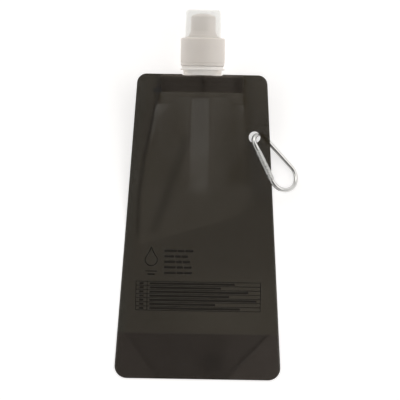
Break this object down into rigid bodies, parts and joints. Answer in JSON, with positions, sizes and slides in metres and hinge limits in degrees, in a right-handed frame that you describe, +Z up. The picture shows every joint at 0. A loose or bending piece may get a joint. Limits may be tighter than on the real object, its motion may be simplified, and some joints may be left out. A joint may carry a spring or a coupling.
{
  "type": "folding water bottle",
  "caption": "Empty flat film pouch bottle lying on its back, with a screw cap, push-pull nozzle, dust cover and a carabiner through a side hole.",
  "frame": {"origin": "on the table, in the middle of the flat underside of the pouch's lower half, on the bottle's centreline", "axes": "+Y from the pouch's bottom edge towards the cap, +X across the pouch towards the carabiner, +Z up from the table out of the printed face"},
  "size_m": [0.1315, 0.2693, 0.0322],
  "materials": {
    "film": "smoke-tinted laminate film",
    "natural_plastic": "frosted natural plastic",
    "seal": "soft white washer",
    "clear_plastic": "clear moulded plastic",
    "aluminium": "polished",
    "spring_wire": "bright wire"
  },
  "bodies": {
    "pouch_upper": {"front_film_upper": "film", "back_film_upper": "film", "spout": "natural_plastic"},
    "pouch_lower": {"front_film_lower": "film", "back_film_lower": "film", "gusset_film": "film"},
    "cap_carrier": {"cap_seal": "seal"},
    "cap": {"screw_cap": "natural_plastic"},
    "nozzle": {"nozzle": "natural_plastic"},
    "cover": {"dust_cover": "clear_plastic"},
    "carabiner": {"carabiner_frame": "aluminium"},
    "gate": {"carabiner_gate": "aluminium", "gate_hinge_pin": "aluminium", "gate_latch_pin": "aluminium", "gate_spring": "spring_wire"},
    "plunger": {"gate_plunger": "aluminium"}
  },
  "joints": [
    {"name": "pouch_fold", "type": "hinge", "parent": "pouch_upper", "child": "pouch_lower", "pos_m": [0, 0.0435, 0.0021], "axis": [-1, 0, 0], "range_deg": [0, 160]},
    {"name": "cap_rise", "type": "slide", "parent": "pouch_upper", "child": "cap_carrier", "axis": [0, 1, 0], "range_m": [0, 0.00451]},
    {"name": "cap_turn", "type": "hinge", "parent": "cap_carrier", "child": "cap", "pos_m": [0, 0.1965, 0.0161], "axis": [0, 1, 0], "range_deg": [0, 540]},
    {"name": "nozzle_pull", "type": "slide", "parent": "cap", "child": "nozzle", "axis": [0, 1, 0], "range_m": [0, 0.0023]},
    {"name": "cover_lift", "type": "slide", "parent": "cap", "child": "cover", "axis": [0, 1, 0], "range_m": [0, 0.04]},
    {"name": "carabiner_swing", "type": "hinge", "parent": "pouch_upper", "child": "carabiner", "pos_m": [0.0387, 0.1335, 0.01016], "axis": [0, -0.2278, 0.9737], "range_deg": [-6, 105]},
    {"name": "gate_open", "type": "hinge", "parent": "carabiner", "child": "gate", "pos_m": [0.05087, 0.10453, 0.01439], "axis": [-0.4988, -0.312, -0.8086], "range_deg": [0, 13], "stiffness_Nm_per_rad": 0.02, "springref_deg": -57.3},
    {"name": "plunger_slide", "type": "slide", "parent": "gate", "child": "plunger", "axis": [-0.4385, 0.8956, -0.075], "range_m": [0, 0.0003], "deforming": ["gate_spring"]}
  ],
  "couplings": [
    {"joint": "cap_rise", "follows": "cap_turn", "m_per_rad": 0.00047746},
    {"joint": "plunger_slide", "follows": "gate_open", "m_per_rad": 0.00127}
  ]
}
